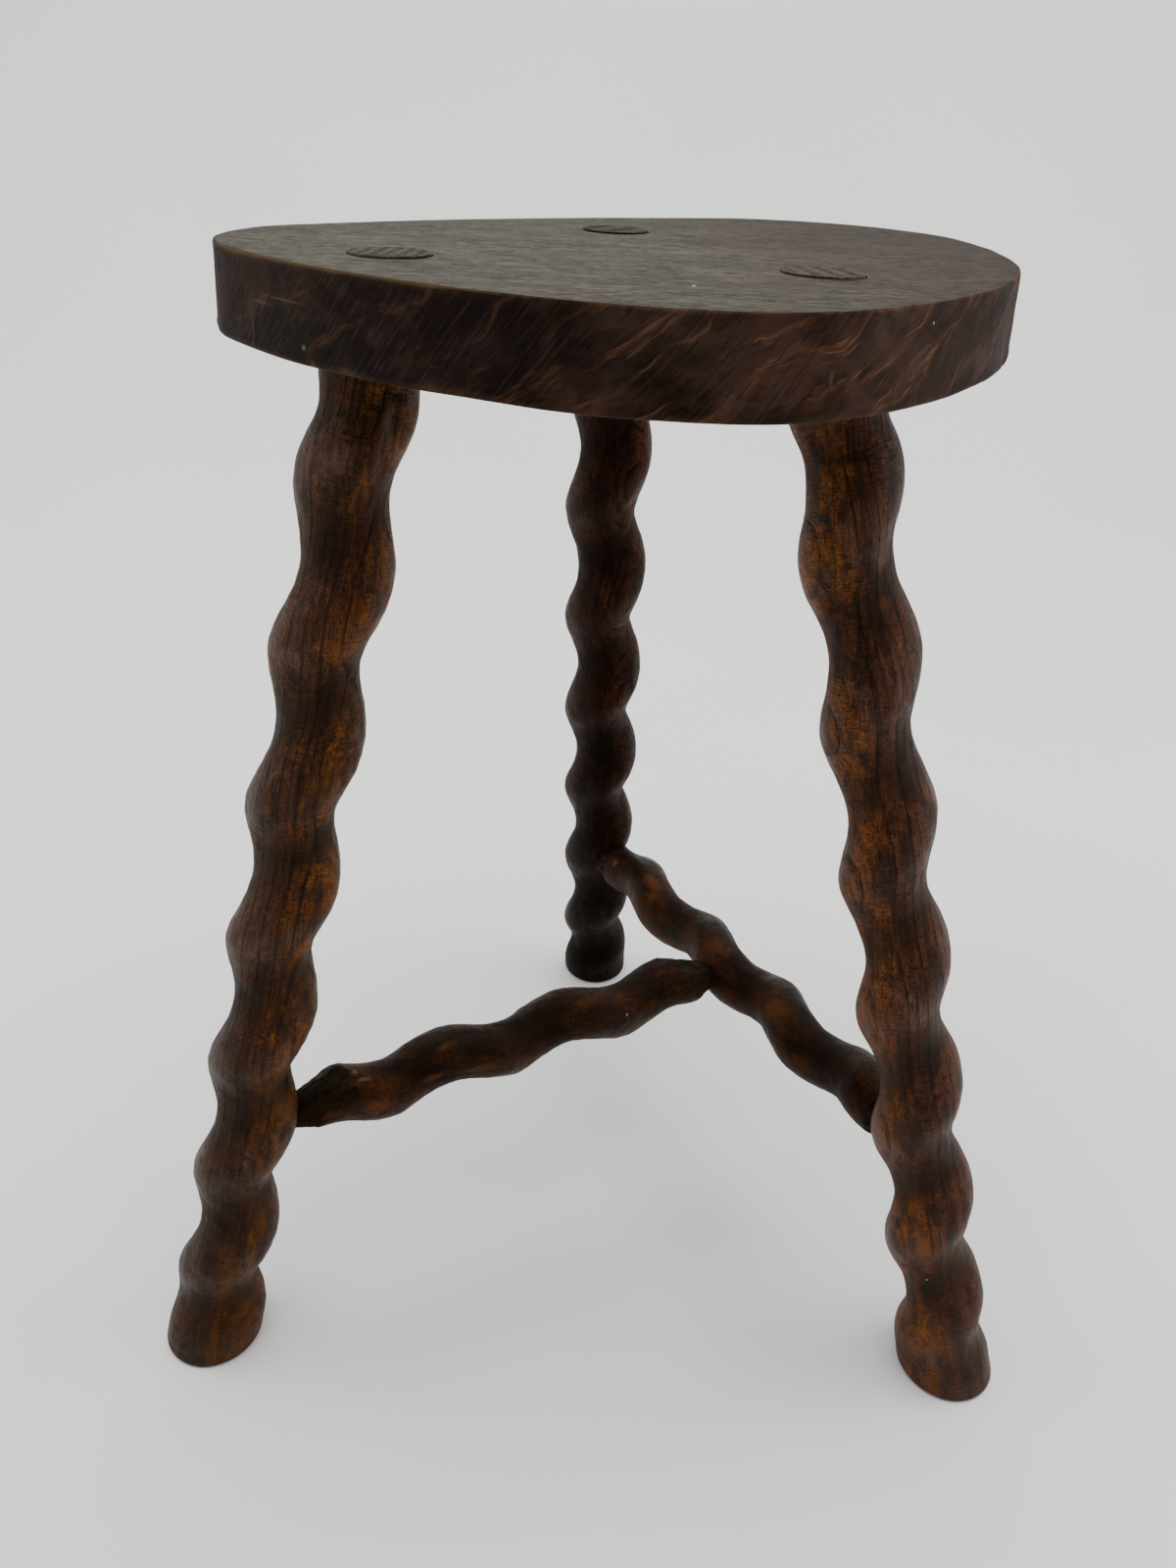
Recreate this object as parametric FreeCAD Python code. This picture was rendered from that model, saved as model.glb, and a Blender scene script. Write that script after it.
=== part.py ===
import FreeCAD, Part
import math
import os

# Three-legged stool: a thick rounded board on three splayed barley twist legs,
# tied near the floor by a cross stretcher and a stem stretcher.
# Lengths are millimetres and angles are degrees. +Z is up, +X runs to the right
# as the stool is seen from its two front legs, and +Y runs from front to back.
# Places in plan are measured from the point midway between the two front tenons.

# Seat board
seat_height = 450.0
seat_thickness = 27.0
seat_undercut_flare = 1.5
seat_top_arris_radius = 1.0
seat_bottom_arris_radius = 1.5

# Seat outline: three round corners joined by three long shallow arcs
left_corner_x = -66.0
left_corner_y = 35.0
left_corner_radius = 60.0
front_corner_x = 22.0
front_corner_y = -9.5
front_corner_radius = 75.5
back_corner_x = 83.0
back_corner_y = 131.0
back_corner_radius = 67.0
front_side_radius = 210.0
right_side_radius = 230.0
back_side_radius = 520.0

# Round tenons that run right through the seat
leg_tenon_diameter = 25.0
leg_tenon_proud = 0.8
front_tenon_spacing = 132.0
rear_tenon_offset = 6.4
rear_tenon_setback = 108.5

# Run of each leg in plan, from its tenon at the seat top to its foot
left_run_x = -91.8
left_run_y = -44.4
right_run_x = 111.5
right_run_y = -56.6
rear_run_x = 15.4
rear_run_y = 114.7

# Barley twist of the legs: a round section that circles the axis of the leg
leg_foot_round = 33.6
leg_top_round = 31.7
leg_twist_offset = 3.2
front_foot_round = 41.2
rear_foot_round = 38.9
foot_block_length = 6.0
foot_fade_length = 29.0
top_plain_length = 4.0
top_fade_length = 25.0
foot_arris = 2.4

# How far each foot block stands off the line of its leg
left_foot_shift_x = 0.2
left_foot_shift_y = -1.2
right_foot_shift_x = -0.9
right_foot_shift_y = -1.1
rear_foot_shift_x = 0.2
rear_foot_shift_y = 0.2

# Each leg was cut by hand, so each has its own pitch and its own start
left_foot_pitch = 56.5
left_top_pitch = 61.6
left_twist_angle = 223.3
right_foot_pitch = 57.1
right_top_pitch = 63.5
right_twist_angle = 336.3
rear_foot_pitch = 55.6
rear_top_pitch = 62.2
rear_twist_angle = 152.3

# Heights on the leg axes where the stretchers meet them
left_joint_height = 115.5
right_joint_height = 120.2
rear_joint_height = 112.6
stem_joint_share = 0.49

# Barley twist of the stretchers
stretcher_round = 25.6
stretcher_end_round = 21.5
stretcher_twist_offset = 2.9
stretcher_fade_length = 22.0
cross_rear_pitch = 65.2
cross_right_pitch = 55.0
cross_twist_angle = 197.8
stem_left_pitch = 56.8
stem_joint_pitch = 61.4
stem_twist_angle = 248.1

# Whittled necks of the stretchers: width across the flats, length that stays
# straight past the neighbour's surface, and length of the slope to full size
cross_rear_neck = 20.6
cross_rear_straight = 9.0
cross_rear_slope = 5.0
cross_right_neck = 20.0
cross_right_straight = 5.0
cross_right_slope = 8.0
stem_left_neck = 12.4
stem_left_straight = 2.5
stem_left_slope = 34.0
stem_joint_neck = 13.0
stem_joint_straight = 1.0
stem_joint_slope = 33.0
facet_count = 8
cross_facet_angle = 12.0
stem_facet_angle = 30.0

# Blind round tenons on the necks
cross_tenon_diameter = 14.0
cross_tenon_depth = 16.0
stem_tenon_diameter = 12.0
stem_leg_tenon_depth = 16.0
stem_joint_tenon_depth = 11.0

# Fits and helpers
joint_clearance = 0.1
socket_end_clearance = 1.0
sections_per_turn = 8
cut_overrun = 10.0

UP = FreeCAD.Vector(0, 0, 1)
BACK = FreeCAD.Vector(0, 1, 0)

seat_underside = seat_height - seat_thickness
leg_surface = leg_foot_round / 2
stretcher_surface = stretcher_round / 2


def unit(vector):
    return vector * (1.0 / vector.Length)


def between(start, end, share):
    return start + (end - start) * share


# Seat outline

def side_centre(corner_a, corner_b, radius):
    """Centre of the arc that touches both corner circles from outside."""
    centre_a, radius_a = corner_a
    centre_b, radius_b = corner_b
    reach_a = radius - radius_a
    reach_b = radius - radius_b
    span = (centre_b - centre_a).Length
    along = unit(centre_b - centre_a)
    inward = UP.cross(along)
    foot = (reach_a ** 2 - reach_b ** 2 + span ** 2) / (2 * span)
    rise = math.sqrt(reach_a ** 2 - foot ** 2)
    return centre_a + along * foot + inward * rise


def arc_about(centre, radius, start_direction, end_direction):
    middle = unit(start_direction + end_direction)
    return Part.Arc(
        centre + start_direction * radius,
        centre + middle * radius,
        centre + end_direction * radius,
    ).toShape()


def seat_outline(height, growth):
    """Closed outline at a height, with every arc grown outward alike."""
    corners = [
        (FreeCAD.Vector(left_corner_x, left_corner_y, height), left_corner_radius),
        (FreeCAD.Vector(front_corner_x, front_corner_y, height), front_corner_radius),
        (FreeCAD.Vector(back_corner_x, back_corner_y, height), back_corner_radius),
    ]
    side_radii = [front_side_radius, right_side_radius, back_side_radius]
    count = len(corners)
    sides = []
    for i in range(count):
        sides.append(side_centre(corners[i], corners[(i + 1) % count], side_radii[i]))
    edges = []
    for i in range(count):
        centre, radius = corners[i]
        next_centre = corners[(i + 1) % count][0]
        arrive = unit(centre - sides[i - 1])
        leave = unit(centre - sides[i])
        land = unit(next_centre - sides[i])
        edges.append(arc_about(centre, radius + growth, arrive, leave))
        edges.append(arc_about(sides[i], side_radii[i] + growth, leave, land))
    return Part.Wire(edges)


# Legs as straight axes

def leg_axis(tenon_x, tenon_y, run_x, run_y):
    """Foot centre on the floor and tenon centre at the seat top."""
    top = FreeCAD.Vector(tenon_x, tenon_y, seat_height)
    foot = FreeCAD.Vector(tenon_x + run_x, tenon_y + run_y, 0)
    return foot, top


left_axis = leg_axis(-front_tenon_spacing / 2, 0, left_run_x, left_run_y)
right_axis = leg_axis(front_tenon_spacing / 2, 0, right_run_x, right_run_y)
rear_axis = leg_axis(rear_tenon_offset, rear_tenon_setback, rear_run_x, rear_run_y)


def point_at_height(axis, height):
    foot, top = axis
    return between(foot, top, height / seat_height)


left_joint = point_at_height(left_axis, left_joint_height)
right_joint = point_at_height(right_axis, right_joint_height)
rear_joint = point_at_height(rear_axis, rear_joint_height)
stem_joint = between(rear_joint, right_joint, stem_joint_share)


# Shared shapes

def rod(start, end, diameter):
    return Part.makeCylinder(diameter / 2, (end - start).Length, start, end - start)


def slab(low, high):
    """Level block between two heights, wider than the whole stool."""
    reach = 2 * seat_height
    corner = FreeCAD.Vector(-reach, -reach, low)
    return Part.makeBox(2 * reach, 2 * reach, high - low, corner)


def oval_ring(centre, long_half, short_half):
    """Ellipse in quarters, so that each long face runs up one quarter of a bar."""
    halves = [long_half, short_half, -long_half, -short_half]
    arcs = []
    for i in range(len(halves)):
        here = halves[i]
        onward = halves[(i + 1) % len(halves)]
        quarter = Part.BezierCurve()
        quarter.setPoles([centre + here, centre + here + onward, centre + onward])
        quarter.setWeight(2, math.sqrt(0.5))
        arcs.append(quarter.toShape())
    return Part.Wire(arcs)


def slanted_ring(centre, axis, radius, level_share):
    """Ring of a round bar, cut square to its axis or turned towards level."""
    across = unit(UP.cross(axis))
    onward = axis.cross(across)
    normal = axis + (UP - axis) * level_share
    climb = onward.dot(normal) / axis.dot(normal)
    return oval_ring(centre, (onward - axis * climb) * radius, across * radius)


def smooth(value):
    """Ease from zero to one without a kink at either end."""
    value = min(max(value, 0), 1)
    return value * value * (3 - 2 * value)


def twisted_bar(start, end, section_at, stray, start_pitch, end_pitch, middle_angle, reference):
    """Round section that circles the line from start to end as a right-handed helix.

    The section's radius, its offset, its share of the stray from the line and its
    share of the turn to level follow the distance from the start. The angle is
    that of the section's centre at the middle of the bar, measured about the axis
    from the direction that is square to it and to the reference.
    """
    length = (end - start).Length
    axis = unit(end - start)
    zero_direction = unit(reference.cross(axis))
    quarter_direction = axis.cross(zero_direction)
    start_rate = length / start_pitch
    end_rate = length / end_pitch
    turns = (start_rate + end_rate) / 2
    steps = math.ceil(turns * sections_per_turn)
    rings = []
    for step in range(steps + 1):
        share = step / steps - 0.5
        turned = turns * share + (end_rate - start_rate) * share ** 2 / 2
        angle = math.radians(middle_angle) + 2 * math.pi * turned
        radius, offset, stray_share, level_share = section_at(length * step / steps, length)
        swing = (zero_direction * math.cos(angle) + quarter_direction * math.sin(angle)) * offset
        centre = between(start, end, step / steps) + swing + stray * stray_share
        rings.append(slanted_ring(centre, axis, radius, level_share))
    return Part.makeLoft(rings, True, False)


# Legs

def foot_rim(centre, axis, foot_round):
    """Worn bevel between the floor and the foot block."""
    lowered = centre - axis * (foot_arris / axis.z)
    upper = slanted_ring(centre, axis, foot_round / 2, 1)
    lower = slanted_ring(lowered, axis, foot_round / 2 - foot_arris, 1)
    return Part.makeLoft([lower, upper], True, True)


def leg_body(axis, foot_round, foot_shift, foot_pitch, top_pitch, middle_angle):
    """Twisted leg, level at the floor and under the seat."""
    def section(distance, length):
        """The twist fades into a round block at the foot and a round neck at the top."""
        foot_run = foot_block_length + foot_fade_length
        top_run = top_plain_length + top_fade_length
        from_foot = smooth((distance - foot_block_length) / foot_fade_length)
        from_top = smooth((length - distance - top_plain_length) / top_fade_length)
        taper = leg_foot_round + (leg_top_round - leg_foot_round) * distance / length
        diameter = foot_round + (taper - foot_round) * from_foot
        offset = leg_twist_offset * from_foot * from_top
        square_share = smooth(distance / foot_run) * smooth((length - distance) / top_run)
        return diameter / 2, offset, 1 - from_foot, 1 - square_share

    foot, top = axis
    start = point_at_height(axis, foot_arris)
    shoulder = point_at_height(axis, seat_underside)
    bar = twisted_bar(
        start, shoulder, section, foot_shift, foot_pitch, top_pitch, middle_angle, BACK)
    return bar.fuse(foot_rim(start + foot_shift, unit(top - foot), foot_round))


def leg(axis, body, mortise):
    """Leg body with its through tenon and the blind mortise for a stretcher."""
    foot, top = axis
    along = unit(top - foot)
    tenon_start = point_at_height(axis, seat_underside - seat_thickness)
    tenon = rod(tenon_start, top + along * cut_overrun, leg_tenon_diameter)
    tenon = tenon.common(slab(0, seat_height + leg_tenon_proud))
    return body.fuse(tenon).cut(mortise).removeSplitter()


# Stretchers

def facet_ring(centre, axis, across, apothem, first_angle):
    """Regular polygon about the axis whose flats lie at the apothem."""
    onward = axis.cross(across)
    radius = apothem / math.cos(math.pi / facet_count)
    points = []
    for i in range(facet_count):
        angle = math.radians(first_angle) + 2 * math.pi * i / facet_count
        points.append(centre + (across * math.cos(angle) + onward * math.sin(angle)) * radius)
    return Part.makePolygon(points + points[:1])


def stretcher_section(distance, length):
    """The bar thins and its twist fades away towards the neighbour at either end."""
    nearest = min(distance, length - distance)
    fullness = smooth((nearest - leg_surface) / stretcher_fade_length)
    diameter = stretcher_end_round + (stretcher_round - stretcher_end_round) * fullness
    return diameter / 2, stretcher_twist_offset * fullness, 0, 0


def whittled(bar, start, end, start_pare, end_pare, first_angle):
    """Pare both ends of a bar down to faceted necks beside its neighbours.

    Each pare is the neighbour's radius, the neck, its straight part and its slope.
    """
    axis = unit(end - start)
    across = unit(UP.cross(axis))
    full = stretcher_round / 2 + 2 * stretcher_twist_offset
    stages = []
    for origin, onward, pare in ((start, axis, start_pare), (end, -axis, end_pare)):
        surface, neck, straight, slope = pare
        neck_end = origin + onward * (surface + straight)
        half = [(origin, neck / 2), (neck_end, neck / 2), (neck_end + onward * slope, full)]
        if origin == end:
            half.reverse()
        stages.extend(half)
    rings = []
    for centre, apothem in stages:
        rings.append(facet_ring(centre, axis, across, apothem, first_angle))
    return bar.common(Part.makeLoft(rings, True, True))


def socket(mouth, bottom, diameter):
    """Round blind mortise with room around the tenon and past its end."""
    along = unit(bottom - mouth)
    return rod(mouth, bottom + along * socket_end_clearance, diameter + 2 * joint_clearance)


cross_line = unit(right_joint - rear_joint)
stem_line = unit(stem_joint - left_joint)
cross_rear_end = rear_joint + cross_line * (leg_surface - cross_tenon_depth)
cross_right_end = right_joint - cross_line * (leg_surface - cross_tenon_depth)
stem_left_end = left_joint + stem_line * (leg_surface - stem_leg_tenon_depth)
stem_right_end = stem_joint - stem_line * (stretcher_surface - stem_joint_tenon_depth)


def cross_stretcher(rear_leg, right_leg):
    """Twisted bar from the rear leg to the right leg, scribed to both."""
    bar = twisted_bar(
        rear_joint, right_joint, stretcher_section, FreeCAD.Vector(),
        cross_rear_pitch, cross_right_pitch, cross_twist_angle, UP,
    )
    rear_pare = (leg_surface, cross_rear_neck, cross_rear_straight, cross_rear_slope)
    right_pare = (leg_surface, cross_right_neck, cross_right_straight, cross_right_slope)
    bar = whittled(bar, rear_joint, right_joint, rear_pare, right_pare, cross_facet_angle)
    bar = bar.cut(rear_leg).cut(right_leg)
    return bar.fuse(rod(cross_rear_end, cross_right_end, cross_tenon_diameter))


def stem_stretcher(left_leg, cross_bar):
    """Twisted bar from the left leg to the middle of the cross stretcher."""
    bar = twisted_bar(
        left_joint, stem_joint, stretcher_section, FreeCAD.Vector(),
        stem_left_pitch, stem_joint_pitch, stem_twist_angle, UP,
    )
    left_pare = (leg_surface, stem_left_neck, stem_left_straight, stem_left_slope)
    joint_pare = (stretcher_surface, stem_joint_neck, stem_joint_straight, stem_joint_slope)
    bar = whittled(bar, left_joint, stem_joint, left_pare, joint_pare, stem_facet_angle)
    bar = bar.cut(left_leg).cut(cross_bar)
    return bar.fuse(rod(stem_left_end, stem_right_end, stem_tenon_diameter))


# Seat

def seat():
    """Flared board with worn arrises and three slanting bores."""
    lower = seat_outline(seat_underside, seat_undercut_flare)
    upper = seat_outline(seat_height, 0)
    board = Part.makeLoft([lower, upper], True, True)
    middle = seat_height - seat_thickness / 2
    top_edges = [edge for edge in board.Edges if edge.BoundBox.ZMin > middle]
    board = board.makeFillet(seat_top_arris_radius, top_edges)
    bottom_edges = [edge for edge in board.Edges if edge.BoundBox.ZMax < middle]
    board = board.makeFillet(seat_bottom_arris_radius, bottom_edges)
    for foot, top in (left_axis, right_axis, rear_axis):
        along = unit(top - foot)
        low = point_at_height((foot, top), seat_underside) - along * cut_overrun
        bore = rod(low, top + along * cut_overrun, leg_tenon_diameter + 2 * joint_clearance)
        board = board.cut(bore)
    return board


def build():
    """All six pieces, measured from the point midway between the front tenons."""
    left_shift = FreeCAD.Vector(left_foot_shift_x, left_foot_shift_y, 0)
    right_shift = FreeCAD.Vector(right_foot_shift_x, right_foot_shift_y, 0)
    rear_shift = FreeCAD.Vector(rear_foot_shift_x, rear_foot_shift_y, 0)
    left_body = leg_body(
        left_axis, front_foot_round, left_shift,
        left_foot_pitch, left_top_pitch, left_twist_angle,
    )
    right_body = leg_body(
        right_axis, front_foot_round, right_shift,
        right_foot_pitch, right_top_pitch, right_twist_angle,
    )
    rear_body = leg_body(
        rear_axis, rear_foot_round, rear_shift,
        rear_foot_pitch, rear_top_pitch, rear_twist_angle,
    )
    cross = cross_stretcher(rear_body, right_body)
    stem = stem_stretcher(left_body, cross)
    left_mortise = socket(stem_joint, stem_left_end, stem_tenon_diameter)
    right_mortise = socket(rear_joint, cross_right_end, cross_tenon_diameter)
    rear_mortise = socket(right_joint, cross_rear_end, cross_tenon_diameter)
    stem_mortise = socket(left_joint, stem_right_end, stem_tenon_diameter)
    return {
        "seat": seat(),
        "leg_left": leg(left_axis, left_body, left_mortise),
        "leg_right": leg(right_axis, right_body, right_mortise),
        "leg_rear": leg(rear_axis, rear_body, rear_mortise),
        "cross_stretcher": cross.cut(stem_mortise),
        "stem_stretcher": stem,
    }


def centre_on_floor(pieces):
    """Move every piece alike, so that the origin is on the floor under the middle."""
    whole = FreeCAD.BoundBox()
    for piece in pieces.values():
        whole.add(piece.optimalBoundingBox(False, False))
    shift = FreeCAD.Vector(-whole.Center.x, -whole.Center.y, 0)
    print("moved by", shift)
    for piece in pieces.values():
        piece.translate(shift)


parts = build()
centre_on_floor(parts)
for name, shape in parts.items():
    print(name, len(shape.Solids), shape.isValid(), round(shape.Volume))
os.makedirs("parts", exist_ok=True)
for name, shape in parts.items():
    shape.exportStep("parts/" + name + ".step")
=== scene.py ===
import math

import bmesh
import bpy
import numpy as np
from mathutils import Matrix, Vector
from mathutils.geometry import delaunay_2d_cdt


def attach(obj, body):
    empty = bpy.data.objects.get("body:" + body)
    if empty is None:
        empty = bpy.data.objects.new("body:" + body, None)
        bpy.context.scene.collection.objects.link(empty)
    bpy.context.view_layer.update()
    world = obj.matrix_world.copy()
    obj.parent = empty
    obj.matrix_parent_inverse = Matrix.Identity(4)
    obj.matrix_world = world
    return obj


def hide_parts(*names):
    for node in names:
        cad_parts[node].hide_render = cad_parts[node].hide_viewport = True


# Looks of the barley twist stool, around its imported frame. Lengths are metres and
# angles are degrees. Places in plan are measured, as in the solids, from the point
# midway between the two front tenons; `shift` moves them into the frame's own place.

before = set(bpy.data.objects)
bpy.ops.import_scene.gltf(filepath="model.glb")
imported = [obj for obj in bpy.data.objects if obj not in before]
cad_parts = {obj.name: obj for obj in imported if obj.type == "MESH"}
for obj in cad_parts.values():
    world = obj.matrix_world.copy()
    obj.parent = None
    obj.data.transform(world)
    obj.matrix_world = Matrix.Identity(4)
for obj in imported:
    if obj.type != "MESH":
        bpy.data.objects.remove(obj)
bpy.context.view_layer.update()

# Seat board
seat_height = 0.450
seat_thickness = 0.027
seat_flare = 0.0015
seat_underside = seat_height - seat_thickness
seat_grain_turn = -4
corner_places = [(-0.066, 0.035), (0.022, -0.0095), (0.083, 0.131)]
corner_radii = [0.060, 0.0755, 0.067]
side_radii = [0.210, 0.230, 0.520]

# Tenons of the legs
tenon_radius = 0.0125
tenon_proud = 0.0008
bore_clearance = 0.0001
front_tenon_x = 0.066

# Legs: tenon, run to the foot, foot block, pitches at foot and top, the twist's angle halfway,
# height of the stretcher's joint, and lean and number of the saw marks in the tenon's end
legs = {
    "leg_left": {
        "tenon": (-front_tenon_x, 0), "run": (-0.0918, -0.0444),
        "foot_round": 0.0412, "foot_shift": (0.0002, -0.0012),
        "pitches": (0.0565, 0.0616), "angle": 223.3, "joint_height": 0.1155,
        "saw_lean": 0.10, "saw_count": 6,
    },
    "leg_right": {
        "tenon": (front_tenon_x, 0), "run": (0.1115, -0.0566),
        "foot_round": 0.0412, "foot_shift": (-0.0009, -0.0011),
        "pitches": (0.0571, 0.0635), "angle": 336.3, "joint_height": 0.1202,
        "saw_lean": -0.18, "saw_count": 4,
    },
    "leg_rear": {
        "tenon": (0.0064, 0.1085), "run": (0.0154, 0.1147),
        "foot_round": 0.0389, "foot_shift": (0.0002, 0.0002),
        "pitches": (0.0556, 0.0622), "angle": 152.3, "joint_height": 0.1126,
        "saw_lean": 0.6, "saw_count": 2,
    },
}
leg_foot_round = 0.0336
leg_top_round = 0.0317
leg_offset = 0.0032
foot_block = 0.006
foot_fade = 0.029
top_plain = 0.004
top_fade = 0.025
foot_arris = 0.0024
rim_shrink = 0.00015

# Stretchers
stem_joint_share = 0.49
bar_round = 0.0256
bar_end_round = 0.0215
bar_offset = 0.0029
bar_fade = 0.022
facets = 8

# Camera of the photograph, in the plan's places and with its angles in radians
picture_height = 1600
focal_pixels = 1199.247
camera_place = (-0.01416, -0.38823, 0.49257)
camera_yaw = 0.0422
camera_pitch = 0.5259
camera_roll = 0.0513

# Fineness of the meshes
around_leg = 112
around_bar = 96
around_bore = 72
leg_step = 0.0013
bar_step = 0.0009
rim_step = 0.00125
top_grid = 0.0032
under_grid = 0.006
sole_shares = (0.25, 0.5, 0.75, 0.92)
foot_arris_steps = 6
top_arris_steps = 6
low_arris_steps = 5
edge_levels = 26

# Unevenness, as waves of a height and a size, and how far each surface sinks for it
leg_waves = [(0.00016, 0.021), (0.00009, 0.008)]
leg_sink = 0.00020
bar_waves = [(0.00016, 0.018), (0.00008, 0.007)]
bar_sink = 0.00020
edge_waves = [(0.00010, 0.03), (0.00006, 0.009)]
edge_sink = 0.00018
plate_waves = [(0.00012, 0.07), (0.00003, 0.012)]
plate_sink = 0.00015
gouge_waves = [(0.00035, 0.0052), (0.00018, 0.0022)]
gouge_reach = 0.0015
gouge_width = 0.012
gouge_stretch = 0.45

# Dirt and painted shade, as how far they reach from the seat, from a joint and from a stretcher's ends
seat_dirt_and_shade = 0.006
joint_dirt_and_shade = 0.012
neck_dirt_and_shade = 0.007

# Wear of the seat: its arrises, knocks along the lower one, and the bores' crushed mouths
top_wear_mean = 0.0009
top_wear_waves = [(0.00035, 0.05), (0.0002, 0.013)]
top_wear_limits = (0.0005, 0.0017)
low_wear_mean = 0.0015
low_wear_waves = [(0.0004, 0.04)]
low_wear_limits = (0.0008, 0.0024)
knock_count = 26
knock_widths = (0.0012, 0.004)
knock_strengths = (0.2, 0.7)
knock_depth = 0.0007
knock_lift = 0.0006
bore_depths = [0.0, 0.0004, 0.0012, 0.004, 0.012, 0.02, seat_thickness]
mouth_growth = [0.00042, 0.00034, 0.0, 0.0, 0.0, 0.0, 0.0]

# Sawn ends of the tenons: rings' shares of the radius, how far they drop, and saw marks
end_shares = [0.997, 0.985, 0.965] + list(np.linspace(0.94, 0.05, 30))
end_drops = [0.00030, 0.00010, 0.00002] + [0.0] * 30
saw_depth = 0.00030

UP = np.array([0.0, 0.0, 1.0])
BACK = np.array([0.0, 1.0, 0.0])


def unit(vector):
    return vector / np.linalg.norm(vector)


def smooth(value):
    """Ease from zero to one without a kink at either end."""
    value = np.clip(value, 0, 1)
    return value * value * (3 - 2 * value)


def lumps(points, size, seed, waves=7):
    """Seeded unevenness, mostly between minus one and one, with features of a size."""
    chance = np.random.default_rng(seed)
    total = np.zeros(points.shape[:-1])
    for _ in range(waves):
        direction = unit(chance.normal(size=3))
        rate = 2 * math.pi / size * chance.uniform(0.7, 1.4)
        total += np.sin(points @ direction * rate + chance.uniform(0, 2 * math.pi))
    return total / math.sqrt(waves)


def dents(points, waves, seed, start=0.0):
    """Sum of lumps, one for each wave's height and size, each with its own seed."""
    total = start
    for number, (height, size) in enumerate(waves):
        total = total + height * lumps(points, size, seed + number)
    return total


# Where the frame lies

def tenon_centre(node):
    """Middle of a leg's tenon end, read from the frame."""
    points = np.array([v.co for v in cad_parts[node].data.vertices])
    top = points[points[:, 2] > seat_height + tenon_proud / 2]
    return (top.min(0) + top.max(0))[:2] / 2


def plan_shift():
    """How far the frame lies from the plan, as the tenon ends show it."""
    moves = []
    for node, leg in legs.items():
        run = np.array(leg["run"])
        expected = np.array(leg["tenon"]) - run * tenon_proud / seat_height
        moves.append(tenon_centre(node) - expected)
    return np.append(np.mean(moves, 0), 0)


shift = plan_shift()


def leg_line(leg):
    """Foot on the floor and tenon at the seat top, in the frame's place."""
    top = np.array([*leg["tenon"], seat_height]) + shift
    foot = top + np.array([*leg["run"], -seat_height])
    return foot, top


def at_height(line, height):
    foot, top = line
    return foot + (top - foot) * height / seat_height


# Meshes

def new_object(name, data):
    made = bpy.data.objects.new(name, data)
    bpy.context.scene.collection.objects.link(made)
    return made


class Skin:
    """Points, faces and per-point marks of one piece, gathered ring by ring."""

    def __init__(self, origin, axes, *marks):
        self.origin = origin
        self.axes = axes
        self.points = []
        self.rows = []
        self.faces = []
        self.upper_faces = []
        self.marks = {name: [] for name in ("place", *marks)}
        self.count = 0

    def place(self, points):
        """Places in the wood: across, across and along the grain."""
        axis, zero, quarter = self.axes
        offset = points - self.origin
        return np.stack([offset @ zero, offset @ quarter, offset @ axis], -1)

    def add(self, points, **marks):
        """Add points with their marks, or nought, and return the numbers they get."""
        points = np.asarray(points, float).reshape(-1, 3)
        self.points.append(points)
        marks["place"] = self.place(points)
        for name, blocks in self.marks.items():
            width = 3 if name in ("place", "around") else 1
            values = np.asarray(marks.get(name, [0.0] * width), float).reshape(-1, width)
            blocks.append(np.broadcast_to(values, (len(points), width)))
        first = self.count
        self.count += len(points)
        return np.arange(first, self.count)

    def ring(self, points, **marks):
        self.rows.append(self.add(points, **marks))

    def bridge(self, rows):
        """Quads between neighbouring closed rings of equal length."""
        for lower, upper in zip(rows[:-1], rows[1:]):
            corners = (lower, np.roll(lower, -1), np.roll(upper, -1), upper)
            self.faces.extend(zip(*(numbers.tolist() for numbers in corners)))

    def cap(self, ring, middle, **marks):
        """Close a ring with a fan of triangles round its middle."""
        centre = int(self.add(middle, **marks)[0])
        for a, b in zip(ring.tolist(), np.roll(ring, -1).tolist()):
            self.faces.append((a, b, centre))

    def piece(self, name, materials, replaces, sharp_angle):
        """Closed mesh that stands for a node of the frame."""
        mesh = bpy.data.meshes.new(name)
        mesh.from_pydata(np.concatenate(self.points).tolist(), [], self.faces + self.upper_faces)
        for mark, blocks in self.marks.items():
            values = np.concatenate(blocks)
            kind, field = ("FLOAT_VECTOR", "vector") if values.shape[1] == 3 else ("FLOAT", "value")
            layer = mesh.attributes.new(mark, kind, "POINT")
            layer.data.foreach_set(field, values.astype(np.float32).ravel())
        solid = bmesh.new()
        solid.from_mesh(mesh)
        bmesh.ops.recalc_face_normals(solid, faces=solid.faces)
        solid.to_mesh(mesh)
        solid.free()
        mesh.shade_smooth()
        mesh.set_sharp_from_angle(angle=math.radians(sharp_angle))
        for material in materials:
            mesh.materials.append(material)
        for face in mesh.polygons[len(self.faces):]:
            face.material_index = 1
        made = new_object(name, mesh)
        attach(made, "root")
        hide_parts(replaces)


# Twisted bars

def bar_axes(start, end, reference):
    axis = unit(end - start)
    zero = unit(np.cross(reference, axis))
    return axis, zero, np.cross(axis, zero)


def twist_direction(bar, distance, length, axes):
    """Direction from the bar's axis to the middle of its section."""
    share = distance / length - 0.5
    start_rate, end_rate = (length / pitch for pitch in bar["pitches"])
    turned = (start_rate + end_rate) / 2 * share + (end_rate - start_rate) * share ** 2 / 2
    angle = math.radians(bar["angle"]) + 2 * math.pi * turned
    _, zero, quarter = axes
    return zero * math.cos(angle) + quarter * math.sin(angle)


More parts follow.
